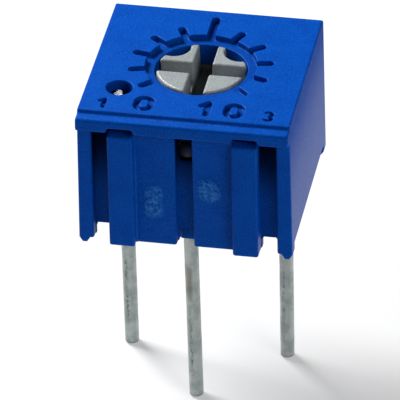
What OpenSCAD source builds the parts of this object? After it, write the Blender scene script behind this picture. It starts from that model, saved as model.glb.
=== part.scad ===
// Single-turn square trimmer potentiometer, top adjust, three straight leads.
// Millimetres, +Z up. The board's surface is Z = 0 and the leads go down through it.
// X and Y are zero at the middle of the walls, which is also the adjuster's axis. -Y is the front.

/* [Housing] */
// Width across the side walls at the open bottom
body_w = 6.7; // [6.4:0.1:8]
// Depth from the front panels to the back wall
body_d = 6.3; // [6:0.1:7.6]
// Height of the top face above the board
body_h = 4.84; // [4.6:0.02:6]
// How far each side wall leans in between its foot and the top face
side_draft = 0.05; // [0:0.01:0.1]
// Thickness of the side and back walls
wall = 0.4; // [0.3:0.02:0.45]
// Thickness of the front wall
front_wall = 0.55; // [0.5:0.02:0.7]
// Thickness of the top wall around the adjuster
top_wall = 0.9; // [0.7:0.02:1.2]
// Gap between the board and the front wall's bottom edge
front_gap = 0.17; // [0.1:0.01:0.3]
// Gap between the board and the side walls' bottom edges
side_gap = 0.4; // [0.2:0.02:0.5]
// Length of each foot along the side wall
foot_d = 0.42; // [0.3:0.02:0.6]
// Width of each foot where it joins the wall
foot_w = 0.36; // [0.3:0.02:0.5]
// Width of the flat that each foot stands on
foot_flat = 0.14; // [0.1:0.01:0.2]

/* [Front lip and ribs] */
// How far the lip and the ribs stand out from the front panels
lip_proud = 0.3; // [0.2:0.02:0.4]
// Height of the lip, from its ledge to its underside
lip_h = 0.44; // [0.3:0.02:0.7]
// Step down from the top face to the lip's ledge
ledge_drop = 0.12; // [0.06:0.02:0.2]
// How far the step lies behind the front panels
ledge_set = 0.08; // [0.02:0.02:0.2]
// Radius of the lip's top edge
lip_r = 0.1; // [0.04:0.02:0.2]
// Width of each rib
rib_w = 0.8; // [0.6:0.05:1]
// Distance of each rib from the middle
rib_x = 1.93; // [1.8:0.01:2]
// Gap between the lip's underside and the top of each rib
rib_gap = 0.11; // [0.05:0.01:0.2]
// How far the notch above each rib cuts up into the lip
notch_h = 0.16; // [0.1:0.02:0.25]
// Depth of the notch behind the front panels
notch_d = 0.25; // [0.1:0.05:0.4]

/* [Lead slots] */
// Width of the three slots in the front wall
slot_w = 0.54; // [0.4:0.02:0.6]
// Distance of the outer slots from the middle
slot_x = 2.6; // [2.55:0.01:2.65]
// Depth of the slots at the bottom
slot_foot_depth = 0.32; // [0.2:0.02:0.36]
// Height above which the slots' floors start to slope in
slot_bend_z = 2; // [1.5:0.05:2.3]
// Depth of the slots level with the ceramic plate
slot_mid_depth = 0.42; // [0.36:0.02:0.44]
// Depth of the outer slots right under the lip
slot_top_depth = 0.84; // [0.7:0.02:0.84]
// Depth of the middle slot right under the lip
slot_window_depth = 1.06; // [0.8:0.02:1.1]
// Width of the arch that opens the foot of each slot
arch_w = 0.5; // [0.4:0.02:0.52]
// Height of the top of each arch above the board
arch_top = 0.66; // [0.5:0.02:0.8]

/* [Dial] */
// Radius of the sunk ring around the adjuster
ring_r = 1.73; // [1.6:0.01:1.9]
// Depth of the ring and of the dial marks
ring_depth = 0.19; // [0.1:0.01:0.25]
// Outer radius of the short dial marks
mark_r = 2.25; // [2:0.05:2.5]
// Outer radius of the mark at mid-travel
mid_mark_r = 2.76; // [2.4:0.02:2.9]
// Width of the dial marks
mark_w = 0.25; // [0.15:0.01:0.3]
// Number of dial marks
marks = 11; // [5:1:15]
// Turning range of the adjuster, in degrees
sweep = 264; // [240:2:270]
// Depth of the moulded figures
figure_depth = 0.14; // [0.05:0.01:0.18]
// Height of the end-of-travel figures
figure_h = 0.82; // [0.6:0.02:0.86]
// Width of their strokes
stroke = 0.19; // [0.12:0.01:0.2]
// Height of the terminal figures
small_figure_h = 0.54; // [0.46:0.02:0.6]
// Width of their strokes
small_stroke = 0.12; // [0.08:0.01:0.14]
// Distance of the terminal figures from the middle
small_figure_x = 2.55; // [2.4:0.05:2.8]
// Distance of the terminal figures behind the front panels
small_figure_y = 0.58; // [0.5:0.02:0.7]
// Distance of the end-of-travel figures behind the front panels
figure_y = 0.72; // [0.65:0.01:0.8]
// Place of the figure 0, left of the middle
zero_x = 1.33; // [1.2:0.01:1.5]
// Place of the figure 10, right of the middle
ten_x = 1.05; // [0.9:0.01:1.1]
// Radius of the round hole beside lead 1
sight_r = 0.41; // [0.3:0.01:0.45]
// Place of the round hole
sight_x = -2.24; // [-2.3:0.02:-2.1]
// Place of the round hole, front to back
sight_y = -1.67; // [-1.8:0.01:-1.5]
// Thickness of the top wall at the round hole
sight_wall = 0.35; // [0.25:0.05:0.5]
// How much wider the hole is below that wall
sight_step = 0.05; // [0.02:0.01:0.1]

/* [Adjuster] */
// Radius of the bore that the adjuster turns in
bore_r = 1.44; // [1.3:0.01:1.55]
// Radial clearance of the adjuster in its bore
turn_clear = 0.04; // [0.02:0.01:0.08]
// Radius of the flange that keeps the adjuster in
flange_r = 1.95; // [1.8:0.01:2]
// How far the adjuster's top stands above the floor of the ring
head_rise = 0.06; // [0:0.01:0.1]
// Thickness of the flange
flange_t = 0.5; // [0.4:0.02:0.6]
// End play of the flange under the top wall
end_play = 0.05; // [0.02:0.01:0.1]
// Width of both arms of the cross slot
cross_w = 0.58; // [0.5:0.01:0.65]
// Depth of the cross slot's left to right arm
cross_depth = 0.75; // [0.5:0.01:1]
// Depth of its front to back arm
pointer_depth = 1.05; // [0.5:0.01:1.1]
// Radius of the hollow in each rear quarter
hollow_r = 0.52; // [0.4:0.01:0.55]
// Depth of the hollow in each rear quarter
hollow_depth = 0.76; // [0.5:0.01:0.8]
// Distance of the hollows from the middle, left and right
hollow_x = 1.06; // [1:0.01:1.1]
// Distance of the hollows from the middle, to the rear
hollow_y = 1.11; // [1.05:0.01:1.15]
// Width of the stop lug and of the two stop posts
stop_w = 0.5; // [0.4:0.02:0.6]
// Clearance around the stop lug
stop_clear = 0.06; // [0.04:0.01:0.1]
// Angle left between the lug and a post at the end of the travel
stop_play = 0.4; // [0.2:0.1:1]

/* [Element] */
// Height of the chamber between the ceramic plate and the top wall
chamber_h = 0.96; // [0.9:0.02:1.2]
// Radius of the chamber that the adjuster's flange turns in
chamber_r = 2.35; // [2.3:0.01:2.5]
// Thickness of the ceramic plate
plate_t = 0.64; // [0.5:0.02:0.8]
// Clearance of the plate and the base inside the walls
seat_clear = 0.03; // [0.02:0.01:0.06]
// Thickness of the printed films
film_t = 0.03; // [0.02:0.01:0.05]
// Inner radius of the resistive track
track_in_r = 1.2; // [1.1:0.02:1.3]
// Outer radius of the resistive track
track_out_r = 1.7; // [1.5:0.02:1.75]
// Radius of the collector pad in the middle
collector_r = 0.5; // [0.4:0.02:0.6]
// Width of the printed conductors
conductor_w = 0.3; // [0.2:0.02:0.4]
// Angle that the track runs on past each end of the travel
track_spare = 6; // [2:1:8]
// Angle that each termination covers past the end of the track
termination_angle = 8; // [5:1:10]

/* [Contact spring] */
// Thickness of the spring sheet
spring_t = 0.08; // [0.05:0.01:0.1]
// Radius of the spring's flat part
spring_r = 1.1; // [1:0.02:1.15]
// How far the flat part is cut off behind the tongue's root and the fingers
spring_cut = 0.35; // [0.3:0.01:0.4]
// Width of the tongue that reaches the collector
tongue_w = 0.36; // [0.3:0.02:0.5]
// Clearance that the window in the flat part leaves around the tongue
tongue_clear = 0.1; // [0.05:0.01:0.12]
// Length of the turned-up ends of the tongue and the fingers
toe = 0.12; // [0.08:0.01:0.15]
// Number of fingers on the track
fingers = 3; // [2:1:4]
// Width of each finger
finger_w = 0.14; // [0.1:0.01:0.16]
// Spacing of the fingers
finger_pitch = 0.2; // [0.19:0.01:0.24]
// Gap between the contact points and the films
contact_gap = 0.03; // [0.02:0.01:0.05]
// Radius of the two staked pegs
peg_r = 0.15; // [0.1:0.01:0.2]
// Height of the pegs' spread heads, and how far they spread
peg_head = 0.06; // [0.03:0.01:0.08]
// Distance of the pegs from the middle
peg_x = 0.7; // [0.6:0.02:0.75]

/* [Leads and base] */
// Spacing of the lead grid: leads 1 and 3 are two of these apart
grid = 2.54; // [2.5:0.01:2.6]
// Distance of leads 1 and 3 behind the adjuster's axis
rear_leads_y = 0.297; // [0.2:0.001:0.4]
// Diameter of the round leads
lead_d = 0.45; // [0.4:0.01:0.5]
// Length of the leads below the board's surface
lead_l = 6.06; // [3:0.01:13]
// Height of the leads above the ceramic plate
lead_head = 0.4; // [0.2:0.02:0.4]
// Height above the board at which the wire is coined flat
coin_z = 0.28; // [0.27:0.01:0.3]
// Length of the coined stretch
coin_l = 0.7; // [0.6:0.05:1]
// Width of the coined stretch
coin_w = 0.6; // [0.5:0.02:0.62]
// Thickness of the coined stretch
coin_t = 0.26; // [0.2:0.02:0.3]
// Radial clearance of the leads in the base and the plate
lead_clear = 0.025; // [0.01:0.005:0.05]
// Width of the solder fillet around each lead
solder_w = 0.155; // [0.1:0.005:0.175]
// Wall of the boss around each round stretch of wire
boss_wall = 0.14; // [0.13:0.01:0.16]
// Gap between the board and the bosses
boss_gap = 0.06; // [0.04:0.01:0.15]
// Thickness of the base's floor
base_t = 0.5; // [0.4:0.02:0.8]
// Thickness of the base's rim
rim_t = 0.45; // [0.35:0.05:0.6]

/* [Hidden] */
$fn = 48;
over = 0.5;                                   // how far a cut runs past the face it opens
front_y = -body_d / 2;
back_y = body_d / 2;
lip_y = front_y - lip_proud;
ledge_z = body_h - ledge_drop;
lip_z = ledge_z - lip_h;
rib_z = lip_z - rib_gap;
ring_z = body_h - ring_depth;
ceiling_z = body_h - top_wall;
plate_z = ceiling_z - chamber_h;              // top of the ceramic plate
plate_foot_z = plate_z - plate_t;
film_z = plate_z + film_t;
cavity_x = body_w / 2 - side_draft - wall;    // inner faces of the walls
cavity_front = front_y + front_wall;
cavity_back = back_y - wall;
flange_z = ceiling_z - end_play;
flange_foot_z = flange_z - flange_t;
head_r = bore_r - turn_clear;
head_z = ring_z + head_rise;                  // top of the adjuster
stop_in_r = flange_r + stop_clear;
lug_r = chamber_r - 2 * stop_clear;
lead_r = lead_d / 2;
lead_bore_r = lead_r + lead_clear;
boss_r = lead_bore_r + boss_wall;
solder_r = lead_r + solder_w;
pad_r = solder_r + film_t;                    // the printed pad shows around the solder
pocket_r = solder_r + stop_clear;
LEADS = [[-grid, rear_leads_y], [0, rear_leads_y - grid], [grid, rear_leads_y]];
track_end = sweep / 2 + track_spare;
// Centre-line angle of a stop post, which the lug's edge meets at the end of its travel
post_angle = sweep / 2 + 2 * asin(stop_w / 2 / flange_r) + stop_play;
// Corner where the conductor from one end of the track turns off towards its lead
function knee(side) = (track_out_r + conductor_w) * [side * sin(track_end + termination_angle - 2),
                                                     cos(track_end + termination_angle - 2)];

BLUE = [0.02, 0.24, 0.67];
GREY = [0.72, 0.71, 0.68];
TIN = [0.6, 0.62, 0.6];

// A 2D bar with round ends, from point a to point b
module bar(a, b, w) {
    along = b - a;
    translate(a) circle(d = w);
    translate(b) circle(d = w);
    translate(a) rotate(atan2(along[1], along[0])) translate([0, -w / 2]) square([norm(along), w]);
}

// A ring of the given radii between two angles, both counted clockwise from +Y
module sector(r_in, r_out, from, to) {
    rotate([0, 0, 90 - to]) rotate_extrude(angle = to - from)
        translate([r_in, 0]) square([r_out - r_in, film_t]);
}

// Outline of what fits between the walls
module seat_outline(inset) {
    translate([-cavity_x + inset, cavity_front + inset])
        square([2 * (cavity_x - inset), cavity_back - cavity_front - 2 * inset]);
}

// ---- Housing: one blue moulding, open underneath ----

// Side view of the walls and the lip
module housing_profile() {
    rotate([90, 0, 90]) translate([0, 0, -body_w / 2]) linear_extrude(body_w) {
        polygon(concat([[front_y, front_gap], [front_y, lip_z], [lip_y, lip_z]],
            [for (a = [180 : -15 : 90]) [lip_y + lip_r + lip_r * cos(a), ledge_z - lip_r + lip_r * sin(a)]],
            [[front_y + ledge_set, ledge_z], [front_y + ledge_set, body_h], [back_y, body_h],
             [back_y, front_gap]]));
    }
}

// Front view of the walls, which lean in towards the top
module draft_profile() {
    rotate([90, 0, 0]) translate([0, 0, -body_d]) linear_extrude(2 * body_d)
        polygon([[-body_w / 2, 0], [body_w / 2, 0], [body_w / 2 - side_draft, body_h],
                 [side_draft - body_w / 2, body_h]]);
}

// Each rib stands on the front wall and stops short of the lip
module ribs() {
    for (side = [-1, 1]) translate([side * rib_x - rib_w / 2, lip_y, front_gap])
        cube([rib_w, lip_proud + front_wall / 2, rib_z - front_gap]);
}

// The notch over each rib, with round upper corners
module notches() {
    corner = notch_h / 2;
    for (side = [-1, 1]) translate([side * rib_x, front_y + notch_d, 0]) rotate([90, 0, 0])
        linear_extrude(notch_d + lip_proud + over) {
            translate([-rib_w / 2, rib_z]) square([rib_w, lip_z + notch_h - corner - rib_z]);
            bar([corner - rib_w / 2, lip_z + notch_h - corner],
                [rib_w / 2 - corner, lip_z + notch_h - corner], 2 * corner);
        }
}

// Each slot runs from the board to the lip, and its floor slopes in above the bend
module slot(depth) {
    rotate([90, 0, 90]) translate([0, 0, -slot_w / 2]) linear_extrude(slot_w)
        polygon([[front_y - over, 0], [front_y - over, lip_z], [front_y + depth, lip_z],
                 [front_y + depth, lip_z - lip_h], [front_y + slot_mid_depth, plate_z],
                 [front_y + slot_foot_depth, slot_bend_z], [front_y + slot_foot_depth, 0]]);
}

module slots() {
    slot(slot_window_depth);
    for (side = [-1, 1]) translate([side * slot_x, 0, 0]) slot(slot_top_depth);
}

// A round-topped opening through the front wall at the foot of each slot
module arches() {
    for (side = [-1, 0, 1]) translate([side * slot_x, cavity_front + over, 0]) rotate([90, 0, 0])
        linear_extrude(front_wall + 2 * over) {
            translate([0, arch_top - arch_w / 2]) circle(d = arch_w);
            translate([-arch_w / 2, -over]) square([arch_w, arch_top - arch_w / 2 + over]);
        }
}

// The ring, the dial marks and the terminal and end-of-travel figures, sunk into the top face
module dial() {
    translate([0, 0, ring_z]) linear_extrude(ring_depth + over) {
        circle(ring_r);
        for (i = [0 : marks - 1]) {
            reach = (2 * i == marks - 1 ? mid_mark_r : mark_r) - mark_w / 2;
            rotate(90 + sweep / 2 - i * sweep / (marks - 1)) bar([ring_r / 2, 0], [reach, 0], mark_w);
        }
    }
    translate([0, 0, body_h - figure_depth]) linear_extrude(figure_depth + over) {
        translate([-small_figure_x, front_y + small_figure_y]) figure_one(small_figure_h, small_stroke);
        translate([small_figure_x, front_y + small_figure_y]) figure_three(small_figure_h, small_stroke);
        translate([-zero_x, front_y + figure_y]) figure_zero(figure_h, stroke);
        translate([ten_x - figure_h / 2, front_y + figure_y]) figure_one(figure_h, stroke);
        translate([ten_x + figure_h / 2, front_y + figure_y]) figure_zero(figure_h, stroke);
    }
}

// Figures of height h about their own middle, drawn with a round-ended stroke
module figure_one(h, w) {
    top = (h - w) / 2;
    bar([0, -top], [0, top], w);
    bar([0, top], [-0.25 * h, top - 0.2 * h], w);
}

module figure_zero(h, w) {
    r = 0.39 * h;
    rise = h / 2 - r;
    difference() {
        union() {
            for (s = [-1, 1]) translate([0, s * rise]) circle(r);
            square([2 * r, 2 * rise], center = true);
        }
        for (s = [-1, 1]) translate([0, s * rise]) circle(r - w);
        square([2 * (r - w), 2 * rise], center = true);
    }
}

module figure_three(h, w) {
    r = (h + w) / 4;
    for (flip = [0, 1]) mirror([0, flip]) translate([0, r - w / 2]) difference() {
        circle(r);
        circle(r - w);
        translate([-2 * r, -2 * r]) square([2 * r, 2.3 * r]);
    }
}

// The hole beside lead 1 and the passage below it, which runs back to that lead
module sight_hole() {
    passage_h = body_h - sight_wall - plate_z;
    translate([sight_x, sight_y, plate_z]) {
        cylinder(r = sight_r, h = body_h);
        cylinder(r = sight_r + sight_step, h = passage_h);
    }
    translate([-cavity_x, sight_y, plate_z])
        cube([cavity_x + sight_x + sight_r, rear_leads_y - sight_y, passage_h]);
}

// Room for the plate and the base, the round chamber above them, and pockets over the leads and
// the conductors that run out to them
module cavity() {
    translate([0, 0, -over]) linear_extrude(plate_z + over) seat_outline(0);
    translate([0, 0, plate_z - over]) cylinder(r = chamber_r, h = chamber_h + over);
    for (lead = LEADS) translate([lead[0], lead[1], plate_z - over])
        cylinder(r = pocket_r, h = lead_head + 2 * stop_clear + over);
    for (side = [-1, 1]) translate([0, 0, plate_z - over]) linear_extrude(over + 2 * stop_clear)
        bar(knee(side), [side * grid, rear_leads_y], conductor_w + 2 * stop_clear);
}

// Two posts under the top wall stop the adjuster's lug
module stop_posts() {
    for (side = [-1, 1]) rotate([0, 0, side * post_angle])
        translate([-stop_w / 2, stop_in_r, flange_foot_z])
            cube([stop_w, chamber_r + wall / 2 - stop_in_r, ceiling_z + wall / 2 - flange_foot_z]);
}

// The side walls stop further above the board than the front and back walls
module side_gaps() {
    for (side = [0, 1]) mirror([side, 0, 0]) translate([cavity_x - wall, front_y + foot_d, -over])
        cube([body_w, body_d - 2 * foot_d, side_gap + over]);
}

// One foot under each corner, narrower at the board
module feet() {
    outer = body_w / 2;
    for (side = [0, 1], end_y = [front_y + foot_d, back_y])
        translate([0, end_y, 0]) mirror([side, 0, 0]) rotate([90, 0, 0]) linear_extrude(foot_d)
            polygon([[outer - foot_w, side_gap], [outer - foot_w, front_gap],
                     [outer - foot_w / 2 - foot_flat / 2, 0], [outer - foot_w / 2 + foot_flat / 2, 0],
                     [outer, front_gap],
                     [outer, side_gap]]);
}

module housing() {
    color(BLUE) union() {
        difference() {
            intersection() {
                union() {
                    housing_profile();
                    ribs();
                }
                draft_profile();
            }
            cavity();
            sight_hole();
            slots();
            arches();
            notches();
            dial();
            cylinder(r = bore_r, h = body_h + over);
            side_gaps();
        }
        stop_posts();
        intersection() {
            feet();
            draft_profile();
        }
    }
}

// ---- Adjuster: a grey moulding with a cross slot, held in by its flange ----

module rotor() {
    color(GREY) difference() {
        union() {
            translate([0, 0, flange_foot_z]) cylinder(r = head_r, h = head_z - flange_foot_z);
            translate([0, 0, flange_foot_z]) cylinder(r = flange_r, h = flange_t);
            translate([-stop_w / 2, 0, flange_foot_z]) cube([stop_w, lug_r, flange_t]);
            pegs();
        }
        translate([-bore_r, -cross_w / 2, head_z - cross_depth]) cube([2 * bore_r, cross_w, body_h]);
        translate([-cross_w / 2, -bore_r, head_z - pointer_depth]) cube([cross_w, 2 * bore_r, body_h]);
        for (side = [-1, 1]) translate([side * hollow_x, hollow_y, head_z - hollow_depth])
            cylinder(r = hollow_r, h = body_h);
    }
}

// Pegs under the flange, spread over the spring when they are staked
module pegs() {
    for (side = [-1, 1]) translate([side * peg_x, 0, flange_foot_z - spring_t - peg_head]) {
        cylinder(r = peg_r, h = spring_t + 2 * peg_head);
        cylinder(r = peg_r + peg_head, h = peg_head);
    }
}

// ---- Contact spring: one sheet of spring alloy, staked under the adjuster ----

// A strip that slopes down from the sheet to a film and turns up at its end
module spring_arm(w, reach) {
    drop = flange_foot_z - spring_t - film_z - contact_gap;
    rotate([90, 0, 90]) translate([0, 0, -w / 2]) linear_extrude(w)
        polygon([[0, 0], [reach, -drop], [reach + toe, -drop + toe / 2],
                 [reach + toe, -drop + toe / 2 + spring_t], [reach, -drop + spring_t], [0, spring_t]]);
}

module wiper() {
    sheet_z = flange_foot_z - spring_t;
    track_r = (track_in_r + track_out_r) / 2;
    window_w = tongue_w + 2 * tongue_clear;
    hinge_y = spring_r - spring_cut;
    color([0.82, 0.7, 0.4]) union() {
        translate([0, 0, sheet_z]) linear_extrude(spring_t) difference() {
            circle(spring_r);
            for (side = [-1, 1]) translate([side * peg_x, 0]) circle(peg_r + lead_clear);
            translate([-window_w / 2, tongue_clear / 2 - hinge_y])
                square([window_w, hinge_y + toe + tongue_clear]);
            translate([-spring_r, hinge_y + spring_t]) square([2 * spring_r, spring_r]);
        }
        translate([0, -hinge_y, sheet_z]) spring_arm(tongue_w, hinge_y);
        for (i = [0 : fingers - 1])
            translate([(i - (fingers - 1) / 2) * finger_pitch, hinge_y, sheet_z])
                spring_arm(finger_w, track_r - hinge_y);
    }
}

// ---- Element: a ceramic plate with printed tracks ----

// Room for the leads, each notch open to the nearest edge
module lead_notches(depth) {
    for (lead = LEADS) translate([lead[0], lead[1], 0]) {
        cylinder(r = lead_bore_r, h = depth);
        away = lead[0] == 0 ? -90 : (lead[0] < 0 ? 180 : 0);
        rotate([0, 0, away]) translate([0, -lead_bore_r, 0])
            cube([wall + lead_bore_r, 2 * lead_bore_r, depth]);
    }
}

module substrate() {
    color([0.93, 0.92, 0.88]) difference() {
        translate([0, 0, plate_foot_z]) linear_extrude(plate_t) seat_outline(seat_clear);
        translate([0, 0, plate_foot_z - over]) lead_notches(plate_t + 2 * over);
    }
}

module resistive_track() {
    color([0.13, 0.12, 0.12]) translate([0, 0, plate_z])
        sector(track_in_r, track_out_r, -track_end, track_end);
}

// What is printed stays on the plate and clear of the leads
module printed() {
    difference() {
        intersection() {
            translate([0, 0, plate_z]) linear_extrude(film_t) seat_outline(2 * seat_clear);
            children();
        }
        translate([0, 0, plate_z - over]) lead_notches(2 * over);
    }
}

// Conductor from one end of the track to its lead; side is -1 for lead 1 and 1 for lead 3
module termination(side) {
    end = track_end + termination_angle;
    color(TIN) printed() translate([0, 0, plate_z]) {
        sector(track_in_r, track_out_r, side < 0 ? -end : track_end, side < 0 ? -track_end : end);
        linear_extrude(film_t) {
            bar(0.8 * knee(side), knee(side), conductor_w);
            bar(knee(side), [side * grid, rear_leads_y], conductor_w);
            translate([side * grid, rear_leads_y]) circle(pad_r);
        }
    }
}

module termination_1() {
    termination(-1);
}

module termination_3() {
    termination(1);
}

module collector_track() {
    color(TIN) printed() translate([0, 0, plate_z]) linear_extrude(film_t) {
        circle(collector_r);
        bar([0, 0], LEADS[1], conductor_w);
        translate(LEADS[1]) circle(pad_r);
    }
}

// ---- Leads, solder and base ----

// The stretch of wire that is coined flat, so that the base grips it
module coined(clear) {
    translate([-coin_w / 2 - clear, -coin_t / 2 - clear, coin_z - clear])
        cube([coin_w + 2 * clear, coin_t + 2 * clear, coin_l + 2 * clear]);
}

// Round tinned wire with a rounded tip
module lead(i) {
    head_z = plate_z + lead_head;
    color(TIN) translate(LEADS[i]) {
        translate([0, 0, -lead_l]) rotate_extrude() polygon(concat(
            [for (a = [0 : 15 : 90]) [lead_r * sin(a), lead_r / 3 * (1 - cos(a))]],
            [[lead_r, lead_l + coin_z], [0, lead_l + coin_z]]));
        coined(0);
        translate([0, 0, coin_z + coin_l]) cylinder(r = lead_r, h = head_z - coin_z - coin_l);
    }
}

module lead_1() {
    lead(0);
}

module lead_2() {
    lead(1);
}

module lead_3() {
    lead(2);
}

// Concave fillet between a lead and its printed pad
module solder(i) {
    h = lead_head - film_t;
    color([0.7, 0.71, 0.72]) translate([LEADS[i][0], LEADS[i][1], film_z])
        rotate_extrude() polygon(concat([[lead_r, 0]],
            [for (a = [0 : 15 : 90]) [solder_r - solder_w * sin(a), h * (1 - cos(a))]]));
}

module solder_1() {
    solder(0);
}

module solder_2() {
    solder(1);
}

module solder_3() {
    solder(2);
}

// Blue closure that carries the leads and holds the plate up against its shoulder
module base() {
    color([0.03, 0.2, 0.5]) difference() {
        union() {
            translate([0, 0, side_gap]) linear_extrude(base_t) seat_outline(seat_clear);
            translate([0, 0, side_gap]) linear_extrude(plate_foot_z - side_gap) difference() {
                seat_outline(seat_clear);
                seat_outline(seat_clear + rim_t);
            }
            intersection() {
                union() for (lead = LEADS) translate([lead[0], lead[1], boss_gap])
                    cylinder(r = boss_r, h = plate_foot_z - boss_gap);
                translate([0, 0, boss_gap]) linear_extrude(plate_foot_z - boss_gap) seat_outline(seat_clear);
            }
        }
        for (lead = LEADS) translate(lead) {
            cylinder(r = lead_bore_r, h = body_h);
            coined(lead_clear);
        }
    }
}

housing();
base();
rotor();
wiper();
substrate();
resistive_track();
collector_track();
termination_1();
termination_3();
solder_1();
solder_2();
solder_3();
lead_1();
lead_2();
lead_3();
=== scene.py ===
import math
import bmesh
import bpy
from mathutils import Matrix, Vector, noise


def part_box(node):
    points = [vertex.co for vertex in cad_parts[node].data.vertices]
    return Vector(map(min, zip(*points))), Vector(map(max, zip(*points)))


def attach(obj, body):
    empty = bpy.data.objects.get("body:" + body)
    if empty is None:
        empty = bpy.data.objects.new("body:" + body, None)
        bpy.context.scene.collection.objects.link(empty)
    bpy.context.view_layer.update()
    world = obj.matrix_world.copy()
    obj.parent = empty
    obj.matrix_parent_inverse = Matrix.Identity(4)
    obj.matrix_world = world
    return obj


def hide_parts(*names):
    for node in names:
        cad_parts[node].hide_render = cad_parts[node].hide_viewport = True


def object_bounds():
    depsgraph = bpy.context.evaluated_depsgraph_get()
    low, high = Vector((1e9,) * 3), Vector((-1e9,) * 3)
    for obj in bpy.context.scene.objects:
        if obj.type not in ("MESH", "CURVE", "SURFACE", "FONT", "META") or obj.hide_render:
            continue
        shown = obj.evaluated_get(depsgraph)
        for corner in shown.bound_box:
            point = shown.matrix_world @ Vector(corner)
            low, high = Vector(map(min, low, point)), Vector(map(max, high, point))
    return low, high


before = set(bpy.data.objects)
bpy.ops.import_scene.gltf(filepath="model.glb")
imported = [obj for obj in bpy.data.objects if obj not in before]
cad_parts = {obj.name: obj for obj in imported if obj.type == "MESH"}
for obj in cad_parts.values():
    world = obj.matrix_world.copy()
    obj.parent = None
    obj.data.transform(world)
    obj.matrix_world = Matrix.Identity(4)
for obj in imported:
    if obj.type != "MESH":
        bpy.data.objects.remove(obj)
cad_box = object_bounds()

# ---- Camera ----
# A long lens looks down at the ribbed front from the right, a little off level. Its place is
# worked out from the angles it looks along and its distance from the board's surface.
MM = 0.001
azimuth, elevation, roll = math.radians(11.17), math.radians(33.82), math.radians(-1.25)
distance, slide_right, slide_up = 187.9 * MM, 0.125 * MM, 0.159 * MM
back = Vector((math.sin(azimuth) * math.cos(elevation), -math.cos(azimuth) * math.cos(elevation),
               math.sin(elevation)))
level = Vector((math.cos(azimuth), math.sin(azimuth), 0))
right = level * math.cos(roll) + back.cross(level) * math.sin(roll)
up = back.cross(right)
camera_data = bpy.data.cameras.new("camera")
camera_data.sensor_width = 36
camera_data.lens = 540.7
camera_data.clip_start = 0.01
camera = bpy.data.objects.new("camera", camera_data)
bpy.context.scene.collection.objects.link(camera)
camera.matrix_world = (Matrix.Translation(back * distance - right * slide_right - up * slide_up)
                       @ Matrix((right, up, back)).transposed().to_4x4())
bpy.context.scene.camera = camera

# ---- Floor and studio light ----
# A plain white sweep lies under the lead tips and glows, so it stays even and lights the front
# from below. A big soft light stands high behind the left corner and a weaker one at the front
# on the right. A low strip lights the right side, and a small light sits beside the lens.
FLOOR_W, FLOOR_TONE, FLOOR_GLOW, FLOOR_ROUGHNESS, ROOM_GLOW = 3, 0.36, 0.38, 0.9, 0.04
PURE_WHITE = (1, 1, 1, 1)
AIM = Vector((0, 0, 2)) * MM
lowest = cad_box[0][2]
bpy.ops.object.select_all(action="DESELECT")
bpy.ops.mesh.primitive_plane_add(size=FLOOR_W, location=(0, 0, lowest))
floor = bpy.context.object
floor.name = "floor"
white = bpy.data.materials.new("white_sweep")
white.use_nodes = True
for socket, value in (("Base Color", (*(FLOOR_TONE,) * 3, 1)), ("Roughness", FLOOR_ROUGHNESS),
                      ("Emission Color", PURE_WHITE), ("Emission Strength", FLOOR_GLOW)):
    white.node_tree.nodes["Principled BSDF"].inputs[socket].default_value = value
floor.data.materials.append(white)


def softbox(name, place, width, height, watts):
    """A rectangular light at a place in millimetres, turned to face the part."""
    lamp = bpy.data.lights.new(name, "AREA")
    lamp.shape = "RECTANGLE"
    lamp.size, lamp.size_y = width * MM, height * MM
    lamp.energy = watts
    light = bpy.data.objects.new(name, lamp)
    bpy.context.scene.collection.objects.link(light)
    light.location = Vector(place) * MM
    light.rotation_euler = (AIM - light.location).to_track_quat("-Z", "Y").to_euler()


softbox("key_light", place=(-75, 48, 85), width=60, height=60, watts=0.345)
softbox("fill_light", place=(84, -66, 62), width=60, height=60, watts=0.056)
softbox("side_light", place=(60, 8, -4), width=40, height=6, watts=0.008)
softbox("lens_light", place=(23, -117, 88), width=20, height=20, watts=0.009)
world = bpy.data.worlds.new("white_room")
world.use_nodes = True
world.node_tree.nodes["Background"].inputs["Color"].default_value = PURE_WHITE
world.node_tree.nodes["Background"].inputs["Strength"].default_value = ROOM_GLOW
bpy.context.scene.world = world
bpy.context.scene.view_settings.view_transform = "Standard"

# ---- Housing ----
# The blue body is one moulding, open underneath. The mould leaves every outside corner with a
# small radius, and the marks and figures in its top face with softer, shallow edges. Two gate
# scars stand on the front panels, where the plastic was fed in and torn off.
SHOP_SCALE = 1000
WELD_GAP, FLAT_ANGLE, SHARP_ANGLE = 0.0005, math.radians(0.4), math.radians(25)
LIP_PROUD = 0.3
TOP_Z, PANEL_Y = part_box("housing")[1].z / MM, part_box("housing")[0].y / MM + LIP_PROUD
HOUSING_RADIUS, DIAL_SHARE, TOP_SKIN = 0.07, 0.5, 0.3
HOLLOW_X, HOLLOW_Y = 2.93, (-2.63, 2.78)
ARCH_TOP, ARCH_Y = 0.7, (-2.95, -2.6)
DIAL_X, DIAL_Y = 3.2, 3


def copied_solid(node, name):
    """A copy of a CAD piece in millimetres, with its loose triangles joined into whole faces."""
    bpy.ops.object.select_all(action="DESELECT")
    piece = bpy.data.objects.new(name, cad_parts[node].data.copy())
    bpy.context.scene.collection.objects.link(piece)
    bpy.context.view_layer.objects.active = piece
    piece.select_set(True)
    piece.data.materials.clear()
    bpy.ops.object.mode_set(mode="EDIT")
    bpy.ops.mesh.select_all(action="SELECT")
    bpy.ops.transform.resize(value=(SHOP_SCALE,) * 3, center_override=(0, 0, 0))
    bpy.ops.mesh.customdata_custom_splitnormals_clear()
    bpy.ops.mesh.remove_doubles(threshold=WELD_GAP)
    bpy.ops.mesh.dissolve_limited(angle_limit=FLAT_ANGLE)
    bpy.ops.object.mode_set(mode="OBJECT")
    return piece


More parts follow.
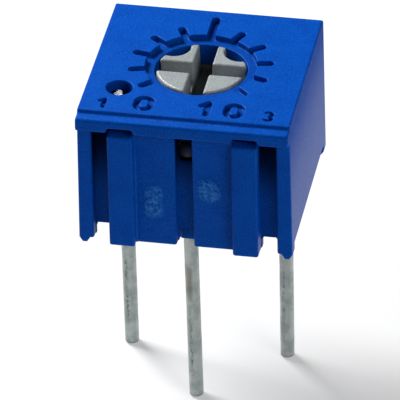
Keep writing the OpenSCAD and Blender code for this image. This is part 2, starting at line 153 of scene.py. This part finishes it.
def round_edges(piece, radius, segments, share_of):
    """Rounds the sharp edges of a piece; share_of gives each edge's share of the radius."""
    mesh = bmesh.new()
    mesh.from_mesh(piece.data)
    shares = mesh.edges.layers.float.new("bevel_weight_edge")
    for edge in mesh.edges:
        if len(edge.link_faces) == 2 and edge.calc_face_angle() > SHARP_ANGLE:
            edge[shares] = share_of((edge.verts[0].co + edge.verts[1].co) / 2)
    mesh.to_mesh(piece.data)
    mesh.free()
    bevel = piece.modifiers.new("edge_radius", "BEVEL")
    bevel.limit_method = "WEIGHT"
    bevel.width = radius
    bevel.segments = segments
    bevel.use_clamp_overlap = False
    bevel.miter_outer = "MITER_ARC"
    bpy.context.view_layer.objects.active = piece
    bpy.ops.object.modifier_apply(modifier=bevel.name)


def finish_piece(piece, body, *nodes, slot, material, angle=40):
    """Smooth shading that keeps flat faces flat, the real size back, the finish and the body."""
    bpy.ops.object.select_all(action="DESELECT")
    piece.select_set(True)
    bpy.context.view_layer.objects.active = piece
    bpy.ops.object.shade_smooth_by_angle(angle=math.radians(angle))
    even = piece.modifiers.new("even_shading", "WEIGHTED_NORMAL")
    even.keep_sharp = True
    bpy.ops.object.modifier_apply(modifier=even.name)
    piece.data.transform(Matrix.Scale(1 / SHOP_SCALE, 4))
    piece.data.materials.clear()
    piece.data.materials.append(material)
    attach(piece, body)
    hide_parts(*nodes)


def group_sockets(group, direction, **sockets):
    """Gives a node group its inputs or outputs: a number, or "vector", for each name."""
    for name, default in sockets.items():
        kind = "NodeSocketVector" if default == "vector" else "NodeSocketFloat"
        socket = group.interface.new_socket(name=name, in_out=direction, socket_type=kind)
        if kind == "NodeSocketFloat":
            socket.default_value = default


def mottle(tree, vector, scale, detail=3, roughness=0.5):
    """An uneven pattern over a vector in millimetres; scale is its spots per millimetre."""
    texture = tree.nodes.new("ShaderNodeTexNoise")
    texture.inputs["Scale"].default_value = scale
    texture.inputs["Detail"].default_value = detail
    texture.inputs["Roughness"].default_value = roughness
    tree.links.new(vector, texture.inputs["Vector"])
    return texture.outputs["Fac"]


def ramp(tree, value, low, high, to_low=0, to_high=1):
    """Maps a value between two limits smoothly onto two others, and stops at both ends."""
    remap = tree.nodes.new("ShaderNodeMapRange")
    remap.interpolation_type = "SMOOTHSTEP"
    for socket, number in zip(("From Min", "From Max", "To Min", "To Max"),
                              (low, high, to_low, to_high)):
        remap.inputs[socket].default_value = number
    tree.links.new(value, remap.inputs["Value"])
    return remap.outputs["Result"]


def calc(tree, operation, first, second=0.0):
    """One step of arithmetic on sockets or plain numbers."""
    step = tree.nodes.new("ShaderNodeMath")
    step.operation = operation
    for socket, value in zip(step.inputs, (first, second)):
        if isinstance(value, (int, float)):
            socket.default_value = value
        else:
            tree.links.new(value, socket)
    return step.outputs[0]


def near(tree, value, centre, inner, outer):
    """1 where a value is close to a centre, falling to 0 between two distances from it."""
    return ramp(tree, calc(tree, "ABSOLUTE", calc(tree, "SUBTRACT", value, centre)), inner, outer,
                1, 0)


def product(tree, first, *others):
    """Several shares, or plain numbers, multiplied together."""
    for other in others:
        first = calc(tree, "MULTIPLY", first, other)
    return first


def in_millimetres(tree):
    """Object coordinates in millimetres."""
    place = tree.nodes.new("ShaderNodeTexCoord")
    scale = tree.nodes.new("ShaderNodeVectorMath")
    scale.operation = "SCALE"
    scale.inputs["Scale"].default_value = 1 / MM
    tree.links.new(place.outputs["Object"], scale.inputs[0])
    return scale.outputs[0]


def split(tree, vector):
    """The three components of a vector."""
    parts = tree.nodes.new("ShaderNodeSeparateXYZ")
    tree.links.new(vector, parts.inputs[0])
    return parts.outputs


def blend_colours(tree, share, first, second):
    """A colour between two, each a socket or three numbers."""
    mixer = tree.nodes.new("ShaderNodeMix")
    mixer.data_type = "RGBA"
    tree.links.new(share, mixer.inputs["Factor"])
    for socket, colour in ((mixer.inputs["A"], first), (mixer.inputs["B"], second)):
        if isinstance(colour, tuple):
            socket.default_value = (*colour, 1)
        else:
            tree.links.new(colour, socket)
    return mixer.outputs["Result"]


def grain_bump(tree, height, depth, shader):
    """Feeds a height to a shader's normal; depth is in millimetres."""
    bump = tree.nodes.new("ShaderNodeBump")
    bump.inputs["Distance"].default_value = depth * MM
    tree.links.new(height, bump.inputs["Height"])
    tree.links.new(bump.outputs["Normal"], shader.inputs["Normal"])


def new_material(name):
    """A material with nodes, its node tree, its shader and its place in millimetres."""
    material = bpy.data.materials.new(name)
    material.use_nodes = True
    tree = material.node_tree
    return material, tree, tree.nodes["Principled BSDF"], in_millimetres(tree)


# What every moulded face shares: a spark-eroded grain, a slow unevenness in the pigment, and
# a scatter of specks. The grain is coarser on the panels between the ribs.
mould_skin = bpy.data.node_groups.new("mould_skin", "ShaderNodeTree")
group_sockets(mould_skin, "INPUT", Place="vector")
group_sockets(mould_skin, "OUTPUT", Height=0.0, Pigment=0.0, Specks=0.0)
skin_place = mould_skin.nodes.new("NodeGroupInput").outputs["Place"]
skin_out = mould_skin.nodes.new("NodeGroupOutput")
grain = mottle(mould_skin, skin_place, scale=13, detail=3, roughness=0.6)
waves = mottle(mould_skin, skin_place, scale=1.6, detail=2)
fine = mottle(mould_skin, skin_place, scale=20, detail=2)
skin_x, skin_y, _ = split(mould_skin, skin_place)
on_panel = product(mould_skin, near(mould_skin, skin_x, centre=0, inner=1.4, outer=1.55),
                   near(mould_skin, skin_y, centre=PANEL_Y, inner=0.03, outer=0.06))
coarse = ramp(mould_skin, mottle(mould_skin, skin_place, scale=6, detail=4, roughness=0.7),
              low=0.35, high=0.7)
mould_skin.links.new(calc(mould_skin, "ADD", grain, product(mould_skin, coarse, on_panel)),
                     skin_out.inputs["Height"])
mould_skin.links.new(ramp(mould_skin, waves, low=0.3, high=0.7), skin_out.inputs["Pigment"])
mould_skin.links.new(ramp(mould_skin, fine, low=0.45, high=0.7), skin_out.inputs["Specks"])
SPECK_SHARE, GRAIN_DEPTH = 0.75, 0.012


def moulding(name, deep, pale, speck, roughness, specular, tint):
    """Moulded plastic in two shades of a pigment; gives its tree, shader, place and colour."""
    material, tree, shader, place = new_material(name)
    skin = tree.nodes.new("ShaderNodeGroup")
    skin.node_tree = mould_skin
    tree.links.new(place, skin.inputs["Place"])
    pigment = blend_colours(tree, skin.outputs["Pigment"], deep, pale)
    speckle = product(tree, skin.outputs["Specks"], SPECK_SHARE)
    tree.links.new(ramp(tree, skin.outputs["Height"], 0.3, 1.3, roughness - 0.04, roughness + 0.1),
                   shader.inputs["Roughness"])
    shader.inputs["Specular IOR Level"].default_value = specular
    shader.inputs["Specular Tint"].default_value = (*tint, 1)
    grain_bump(tree, skin.outputs["Height"], GRAIN_DEPTH, shader)
    return material, tree, shader, split(tree, place), blend_colours(tree, speckle, pigment, speck)


# The front slots carry painted shade, darkest towards their upper ends under the lip. The scars
# are paler, the floors of the marks carry a little painted shade, and the side walls lose their
# gloss towards the top.
SLOT_MOUTH, SLOT_END, SLOT_X, SLOT_CEILING = (-3.12, -3.0), (-2.1, -2.0), (2.9, 2.95), (4.3, 4.35)
SLOT_SHADE, SLOT_SHADE_COLOUR = (1.8, 3.6, 0, 0.9), (0.0002, 0.001, 0.006)
SCAR_X, SCAR_TOP, SCAR_COLOUR = (1.5, 1.52), (3.2, 3.3), (0.04, 0.2, 0.52)
SCAR_RISE = (PANEL_Y - 0.06, PANEL_Y - 0.002, 0.7, 0)
MARK_FLOOR, MARK_SHADE_COLOUR = (TOP_Z - 0.12, TOP_Z - 0.1, 0.2, 0), (0.0001, 0.006, 0.04)
MARK_FRONT, MARK_BACK, MARK_X = (-2.9, -2.85), (2.9, 3), (3.1, 3.15)
GLOSS_FACE_ON, GLOSS_EDGE_ON = 0.08, (0.09, 0.003)
blue, tree, shader, (x, y, z), colour = moulding(
    "blue_moulding", deep=(0.0002, 0.041, 0.27), pale=(0.0005, 0.049, 0.305),
    speck=(0.002, 0.078, 0.41), roughness=0.4, specular=0.16, tint=(0.1, 0.4, 1))
# Painted shade: the slot faces darken to near-black towards the top, where the lip and the deep
# slot shade them.
slot_painted_shade = product(tree, ramp(tree, y, *SLOT_MOUTH), ramp(tree, y, *SLOT_END, 1, 0),
                  near(tree, x, 0, *SLOT_X), ramp(tree, z, *SLOT_CEILING, 1, 0))
slot_painted_shade = product(tree, slot_painted_shade, ramp(tree, z, *SLOT_SHADE))
colour = blend_colours(tree, slot_painted_shade, colour, SLOT_SHADE_COLOUR)
on_scar = product(tree, near(tree, x, 0, *SCAR_X),
                  ramp(tree, y, *SCAR_RISE),
                  ramp(tree, z, *SCAR_TOP, 1, 0))
colour = blend_colours(tree, on_scar, colour, SCAR_COLOUR)
# Painted shade: the sunk floors of the marks, figures and ring are darkened a little.
mark_painted_shade = product(tree, ramp(tree, z, *MARK_FLOOR), ramp(tree, y, *MARK_FRONT),
               ramp(tree, y, *MARK_BACK, 1, 0), near(tree, x, 0, *MARK_X))
colour = blend_colours(tree, mark_painted_shade, colour, MARK_SHADE_COLOUR)
tree.links.new(colour, shader.inputs["Base Color"])
edge_on = tree.nodes.new("ShaderNodeLayerWeight")
gloss = tree.nodes.new("ShaderNodeMix")
tree.links.new(ramp(tree, edge_on.outputs["Facing"], low=0.5, high=0.8), gloss.inputs["Factor"])
gloss.inputs["A"].default_value = GLOSS_FACE_ON
tree.links.new(ramp(tree, z, 0, 4.6, *GLOSS_EDGE_ON), gloss.inputs["B"])
tree.links.new(gloss.outputs["Result"], shader.inputs["Specular IOR Level"])


def housing_share(middle):
    """Outside corners get the full radius, the dial less, and the hidden inside none."""
    x, y, z = middle
    if abs(x) < HOLLOW_X and HOLLOW_Y[0] < y < HOLLOW_Y[1] and z < TOP_Z - TOP_SKIN:
        return 0
    if z < ARCH_TOP and ARCH_Y[0] < y < ARCH_Y[1]:
        return 0
    if z > TOP_Z - TOP_SKIN and abs(x) < DIAL_X and abs(y) < DIAL_Y:
        return DIAL_SHARE
    return 1


SCAR_GRID, SCAR_SINK = (48, 72), 0.004
TEAR_SCALE, EDGE_STEEP, EDGE_RAGGED, RIM_RISE, CORNER_FALL = 7, 8, 0.7, 2.4, 6


def gate_scar(at_x, at_z, half_w, half_h, lobes, depth, seed):
    """A torn patch standing on the front panel, with a rough skin and a raised rim."""
    bpy.ops.object.select_all(action="DESELECT")
    bpy.ops.mesh.primitive_grid_add(x_subdivisions=SCAR_GRID[0], y_subdivisions=SCAR_GRID[1],
                                    size=2)
    patch = bpy.context.object
    for vertex in patch.data.vertices:
        u, v = vertex.co.x, vertex.co.y
        x, z = at_x + u * half_w, at_z + v * half_h
        rough = noise.fractal(Vector((x, z, seed)) * TEAR_SCALE, 0.6, 2.2, 4)
        inside = 0
        for lobe_u, lobe_v, lobe_r in lobes:
            away = math.hypot((u - lobe_u) * half_w, (v - lobe_v) * half_h) / (lobe_r * half_w)
            edge = EDGE_STEEP * (away - 1 + EDGE_RAGGED * rough)
            inside = max(inside, 1 / (1 + math.exp(edge)))
        rise = inside * (1 + RIM_RISE * (1 - inside))
        fall = max(0, 1 - max(abs(u), abs(v)) ** CORNER_FALL)
        lift = depth * fall * rise * (0.75 + 0.7 * rough)
        vertex.co = Vector((x, PANEL_Y + SCAR_SINK - max(lift, 0), z))
    return patch


housing = copied_solid("housing", "housing_moulding")
round_edges(housing, HOUSING_RADIUS, 3, housing_share)
scars = (gate_scar(-0.97, 1.8, half_w=0.4, half_h=0.8, depth=0.04, seed=3,
                   lobes=((0.1, 0.3, 0.68), (-0.1, -0.12, 0.5), (0, -0.42, 0.75))),
         gate_scar(0.78, 2.3, half_w=0.46, half_h=0.66, depth=0.045, seed=8,
                   lobes=((0, 0.05, 0.75), (0.1, -0.15, 0.6))))
bpy.ops.object.select_all(action="DESELECT")
for piece in (*scars, housing):
    piece.select_set(True)
bpy.context.view_layer.objects.active = housing
bpy.ops.object.join()
finish_piece(housing, "body", "housing", slot="blue_moulding", material=blue)

# ---- Adjuster ----
# The grey rotor turns in the housing's bore. It is moulded with a cross slot for a trimming
# tool, and the two hollows behind the cross keep its walls even. Its edges are well rounded.
ROTOR_RADIUS, ROTOR_EDGES_Z = 0.08, 4.0
SLOT_FLOOR_SHADE, SLOT_FLOOR_SHADE_COLOUR = (3.7, 4.15, 0.8, 0), (0.03, 0.03, 0.03)
grey, tree, shader, (_, _, z), colour = moulding(
    "grey_moulding", deep=(0.2, 0.225, 0.23), pale=(0.23, 0.255, 0.26),
    speck=(0.31, 0.34, 0.345), roughness=0.34, specular=0.35, tint=(1, 1, 1))
# Painted shade: the deep floor of the cross slot is darkened to near-black.
tree.links.new(blend_colours(tree, ramp(tree, z, *SLOT_FLOOR_SHADE), colour, SLOT_FLOOR_SHADE_COLOUR),
               shader.inputs["Base Color"])
shader.inputs["Subsurface Weight"].default_value = 0.25
shader.inputs["Subsurface Scale"].default_value = 0.2 * MM
rotor = copied_solid("rotor", "rotor_moulding")
round_edges(rotor, ROTOR_RADIUS, 4, lambda middle: 1 if middle.z > ROTOR_EDGES_Z else 0)
finish_piece(rotor, "adjuster", "rotor", slot="grey_moulding", material=grey)

# ---- Base ----
# The closure is moulded in the same plastic as the housing and shuts it from below. Its bosses
# grip the coined wires, and only its lowest edges are rounded.
BASE_RADIUS, BASE_EDGES_Z = 0.03, 0.3
base = copied_solid("base", "base_moulding")
round_edges(base, BASE_RADIUS, 2, lambda middle: 1 if middle.z < BASE_EDGES_Z else 0)
finish_piece(base, "body", "base", slot="blue_moulding", material=blue)

# ---- Leads ----
# Three tinned copper wires, coined flat where the base grips them. Drawing and handling leave
# them a little uneven, with scratches and a dull smear. Lead 1 is cut off flush with the plate,
# under its solder.
WIRE_R = 0.225
WIRE_FOOT, WIRE_HEAD = (corner.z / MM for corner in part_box("lead_1"))
PLATE_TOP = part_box("substrate")[1].z / MM
TIP_R, TIP_H, TIP_STEPS, RING_PITCH = 0.02, WIRE_R / 3, 6, 0.09
HEAD_CHAMFER, HEAD_SHARE = 0.03, 0.85
COIN_Z, COIN_L, COIN_HALF = 0.28, 0.7, (0.3, 0.13)
LEANS = (0.05, 0.07, 0)
WANDER, WANDER_PITCH, WANDER_STEP = 0.035, 1.3, 10
LEAD_PLACES = {node: (sum(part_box(node), Vector()) / 2 / MM).xy
               for node in ("lead_1", "lead_2", "lead_3")}
FULL_TURN, ROUND_SIDES = 2 * math.pi, 48
TIN_DARK, TIN_PALE, TIN_RUBBED = (0.26, 0.3, 0.295), (0.38, 0.425, 0.41), (0.46, 0.5, 0.48)
SMEAR_COLOUR, STREAK_COLOUR, TIP_COLOUR = (0.13, 0.1, 0.075), (0.05, 0.06, 0.06), (0.09, 0.1, 0.1)

tin, tree, shader, place = new_material("tinned_wire")
along = tree.nodes.new("ShaderNodeUVMap")
along.uv_map = "wire"
turn, height, _ = split(tree, along.outputs[0])
x, y, z = split(tree, place)
stretched = tree.nodes.new("ShaderNodeCombineXYZ")
for socket, value in zip(stretched.inputs, (product(tree, turn, 9), product(tree, height, 1.1), x)):
    tree.links.new(value, socket)
drawn = mottle(tree, stretched.outputs[0], scale=3, detail=4, roughness=0.7)
blotch = mottle(tree, place, scale=2.2, detail=4, roughness=0.65)
pits = mottle(tree, place, scale=16, detail=3, roughness=0.7)
streak = product(tree, near(tree, turn, centre=-0.3, inner=0.02, outer=0.055),
                 ramp(tree, drawn, low=0.42, high=0.6),
                 near(tree, height, centre=-3.9, inner=0.7, outer=1.8),
                 ramp(tree, pits, low=0.38, high=0.55), 0.85)
smear = product(tree, near(tree, z, centre=-1.7, inner=0.4, outer=0.8),
                ramp(tree, y, -2.5, -2.3, 1, 0),
                near(tree, x, centre=-0.05, inner=0.04, outer=0.16), 0.7)
rubbed = product(tree, ramp(tree, drawn, low=0.35, high=0.7), 0.3)
tip = product(tree, ramp(tree, z, WIRE_FOOT + 0.02, WIRE_FOOT + 0.16, 1, 0), 0.7)
tinned = blend_colours(tree, ramp(tree, blotch, low=0.35, high=0.65), TIN_DARK, TIN_PALE)
for share, colour in ((rubbed, TIN_RUBBED), (smear, SMEAR_COLOUR), (streak, STREAK_COLOUR),
                      (tip, TIP_COLOUR)):
    tinned = blend_colours(tree, share, tinned, colour)
tree.links.new(tinned, shader.inputs["Base Color"])
tree.links.new(ramp(tree, blotch, 0.3, 0.7, 0.5, 0.36), shader.inputs["Roughness"])
shader.inputs["Metallic"].default_value = 0.6
grain_bump(tree, calc(tree, "ADD", drawn, product(tree, pits, 0.5)), 0.012, shader)


def turned(name, rings):
    """A turned piece at the origin: a disc extruded and resized from ring to ring.

    Each ring is its height and its half width along X and along Y, from the foot up."""
    height, half_x, half_y = rings[0]
    bpy.ops.object.select_all(action="DESELECT")
    bpy.ops.mesh.primitive_circle_add(vertices=ROUND_SIDES, radius=1, fill_type="NGON")
    piece = bpy.context.object
    piece.name = name
    bpy.ops.object.mode_set(mode="EDIT")
    bpy.ops.mesh.select_all(action="SELECT")
    bpy.ops.transform.resize(value=(half_x, half_y, 1), center_override=(0, 0, 0))
    bpy.ops.transform.translate(value=(0, 0, height))
    for next_z, next_x, next_y in rings[1:]:
        bpy.ops.mesh.extrude_region_move(
            TRANSFORM_OT_translate={"value": (0, 0, next_z - height)})
        bpy.ops.transform.resize(value=(next_x / half_x, next_y / half_y, 1),
                                 center_override=(0, 0, 0))
        height, half_x, half_y = next_z, next_x, next_y
    bpy.ops.mesh.select_all(action="SELECT")
    bpy.ops.mesh.normals_make_consistent(inside=False)
    bpy.ops.object.mode_set(mode="OBJECT")
    return piece


def copy_of(master, name):
    """A copy with its own mesh."""
    piece = master.copy()
    piece.data = master.data.copy()
    piece.name = name
    bpy.context.scene.collection.objects.link(piece)
    return piece


rings = [(WIRE_FOOT, TIP_R, TIP_R)]
for step in range(1, TIP_STEPS + 1):
    slant = math.pi / 2 * step / TIP_STEPS
    rings.append((WIRE_FOOT + TIP_H * (1 - math.cos(slant)), *(WIRE_R * math.sin(slant),) * 2))
straight = COIN_Z - rings[-1][0]
steps = int(straight / RING_PITCH)
rings += [(COIN_Z - straight * (1 - step / steps), WIRE_R, WIRE_R) for step in range(1, steps + 1)]
rings += [(COIN_Z, *COIN_HALF), (COIN_Z + COIN_L, *COIN_HALF), (COIN_Z + COIN_L, WIRE_R, WIRE_R),
          (WIRE_HEAD - HEAD_CHAMFER, WIRE_R, WIRE_R),
          (WIRE_HEAD, HEAD_SHARE * WIRE_R, HEAD_SHARE * WIRE_R)]
drawn_wire = turned("drawn_wire", rings)

for seed, (node, at) in enumerate(LEAD_PLACES.items()):
    lead = copy_of(drawn_wire, node + "_wire")
    chart = lead.data.uv_layers.new(name="wire")
    lead.data.uv_layers.active = chart
    for face in lead.data.polygons:
        middle = math.atan2(face.center.y, face.center.x)
        is_end = len(face.vertices) > 4
        for corner in face.loop_indices:
            rim = lead.data.vertices[lead.data.loops[corner].vertex_index].co
            angle = math.remainder(math.atan2(rim.y, rim.x) - middle, FULL_TURN) + middle
            share = angle / FULL_TURN
            chart.data[corner].uv = (share % 1 if is_end else share, rim.z)
    head = PLATE_TOP if node == "lead_1" else WIRE_HEAD
    for vertex in lead.data.vertices:
        x, y, z = vertex.co
        wander = noise.noise(Vector((x / WIRE_R, y / WIRE_R,
                                     z * WANDER_PITCH + WANDER_STEP * seed)))
        narrow = 1 - WANDER * abs(wander)
        lean = LEANS[seed] * max(0, z / WIRE_FOOT)
        vertex.co = Vector((at[0] + x * narrow + lean, at[1] + y * narrow, min(z, head)))
    finish_piece(lead, "body", node, slot="tinned_wire", material=tin, angle=50)
bpy.data.objects.remove(drawn_wire)

# ---- Solder ----
# A joint on the plate wets each wire and covers its cut head. It is a smooth bright dome, and
# the one beside the round hole has two flats, which catch the light through the hole.
JOINT_Z, JOINT_R, JOINT_H, JOINT_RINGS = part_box("solder_1")[0].z / MM, 0.38, 0.43, 24
FLAT_YZ, FLATS = (0.15, 0.24), ((-0.18, (0.162, -0.814, 0.558)), (-0.1, (0.5, -0.66, 0.558)))
ALLOY_DARK, ALLOY_PALE, ALLOY_PAINTED_SHADE = (0.42, 0.43, 0.41), (0.6, 0.61, 0.6), (0.01, 0.03, 0.09)
FRONT_JOINT_Y = (-1.6, -1.2)
bright, tree, shader, place = new_material("solder")
_, y, _ = split(tree, place)
flow = mottle(tree, place, scale=2.5, detail=3)
alloy = blend_colours(tree, ramp(tree, flow, low=0.4, high=0.65), ALLOY_DARK, ALLOY_PALE)
# Painted shade: joints towards the front, seen through the middle slot, are darkened to a dark
# blue-grey and made rougher.
tree.links.new(blend_colours(tree, ramp(tree, y, *FRONT_JOINT_Y, 0.93, 0), alloy, ALLOY_PAINTED_SHADE),
               shader.inputs["Base Color"])
shader.inputs["Metallic"].default_value = 0.6
tree.links.new(ramp(tree, y, *FRONT_JOINT_Y, 0.6, 0.2), shader.inputs["Roughness"])
grain_bump(tree, flow, 0.01, shader)

rings = []
for ring in range(JOINT_RINGS):
    share = 1 - ring / JOINT_RINGS
    rings.append((JOINT_H * math.sqrt(1 - share ** 3), JOINT_R * share, JOINT_R * share))
dome = turned("solder_dome", rings)
for node, at in zip(("solder_1", "solder_2", "solder_3"), LEAD_PLACES.values()):
    joint = copy_of(dome, node + "_joint")
    flats = FLATS if node == "solder_1" else ()
    for flat_x, normal in flats:
        bpy.ops.object.select_all(action="DESELECT")
        bpy.context.view_layer.objects.active = joint
        joint.select_set(True)
        bpy.ops.object.mode_set(mode="EDIT")
        bpy.ops.mesh.select_all(action="SELECT")
        bpy.ops.mesh.bisect(plane_co=(flat_x, *FLAT_YZ), plane_no=normal, use_fill=True,
                            clear_outer=True)
        bpy.ops.object.mode_set(mode="OBJECT")
    joint.data.transform(Matrix.Translation((*at, JOINT_Z)))
    finish_piece(joint, "body", node, slot="solder", material=bright, angle=2 if flats else 60)
bpy.data.objects.remove(dome)

# ---- Contact spring ----
# A stamped sheet of rolled spring alloy, staked under the adjuster, so it turns with it. It is
# bright, with the rolling lines running across it.
sheet, tree, shader, place = new_material("spring_alloy")
rolled = tree.nodes.new("ShaderNodeMapping")
rolled.inputs["Scale"].default_value = (1.5, 40, 1.5)
tree.links.new(place, rolled.inputs["Vector"])
lines = mottle(tree, rolled.outputs[0], scale=1, detail=3)
tree.links.new(blend_colours(tree, ramp(tree, lines, low=0.3, high=0.7), (0.6, 0.45, 0.22),
                             (0.74, 0.6, 0.34)), shader.inputs["Base Color"])
tree.links.new(ramp(tree, lines, 0.3, 0.7, 0.34, 0.22), shader.inputs["Roughness"])
shader.inputs["Metallic"].default_value = 1
grain_bump(tree, lines, 0.004, shader)


def finish_node(node, material):
    """Gives a CAD piece its finish; its shape stays as it is."""
    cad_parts[node].data.materials.clear()
    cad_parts[node].data.materials.append(material)


finish_node("wiper", sheet)

# ---- Ceramic plate ----
# The plate that carries the printed films is pressed and fired alumina. It is matt and
# off-white, with a fine sintered grain.
alumina, tree, shader, place = new_material("ceramic_plate")
sinter = mottle(tree, place, scale=12, detail=4, roughness=0.6)
tree.links.new(blend_colours(tree, ramp(tree, sinter, low=0.35, high=0.65), (0.72, 0.7, 0.64),
                             (0.85, 0.84, 0.79)), shader.inputs["Base Color"])
tree.links.new(ramp(tree, sinter, 0.3, 0.7, 0.6, 0.8), shader.inputs["Roughness"])
grain_bump(tree, sinter, 0.01, shader)
finish_node("substrate", alumina)

# ---- Printed films ----
# The track is a dark cermet ink and the conductors a silver one. Both are screen printed and
# fired, which leaves the weave of the screen faintly in the surface.
THREADS = 70
weave = bpy.data.node_groups.new("screen_weave", "ShaderNodeTree")
group_sockets(weave, "INPUT", Place="vector")
group_sockets(weave, "OUTPUT", Height=0.0, Patch=0.0)
weave_place = weave.nodes.new("NodeGroupInput").outputs["Place"]
weave_out = weave.nodes.new("NodeGroupOutput")
weave_x, weave_y, _ = split(weave, weave_place)
threads = [calc(weave, "SINE", product(weave, axis, THREADS)) for axis in (weave_x, weave_y)]
weave.links.new(product(weave, *threads), weave_out.inputs["Height"])
weave.links.new(ramp(weave, mottle(weave, weave_place, scale=7, detail=3), low=0.35, high=0.65),
                weave_out.inputs["Patch"])


def fired_ink(name, deep, pale, metallic, roughness):
    """A printed and fired film in two shades, with the screen's weave."""
    material, tree, shader, place = new_material(name)
    screen = tree.nodes.new("ShaderNodeGroup")
    screen.node_tree = weave
    tree.links.new(place, screen.inputs["Place"])
    tree.links.new(blend_colours(tree, screen.outputs["Patch"], deep, pale),
                   shader.inputs["Base Color"])
    shader.inputs["Metallic"].default_value = metallic
    shader.inputs["Roughness"].default_value = roughness
    grain_bump(tree, screen.outputs["Height"], 0.002, shader)
    return material


cermet = fired_ink("resistive_film", deep=(0.018, 0.017, 0.017), pale=(0.045, 0.042, 0.04),
                   metallic=0, roughness=0.5)
silver = fired_ink("conductor_film", deep=(0.42, 0.42, 0.4), pale=(0.56, 0.56, 0.54),
                   metallic=0.9, roughness=0.42)
for node, ink in (("resistive_track", cermet), ("collector_track", silver),
                  ("termination_1", silver), ("termination_3", silver)):
    finish_node(node, ink)
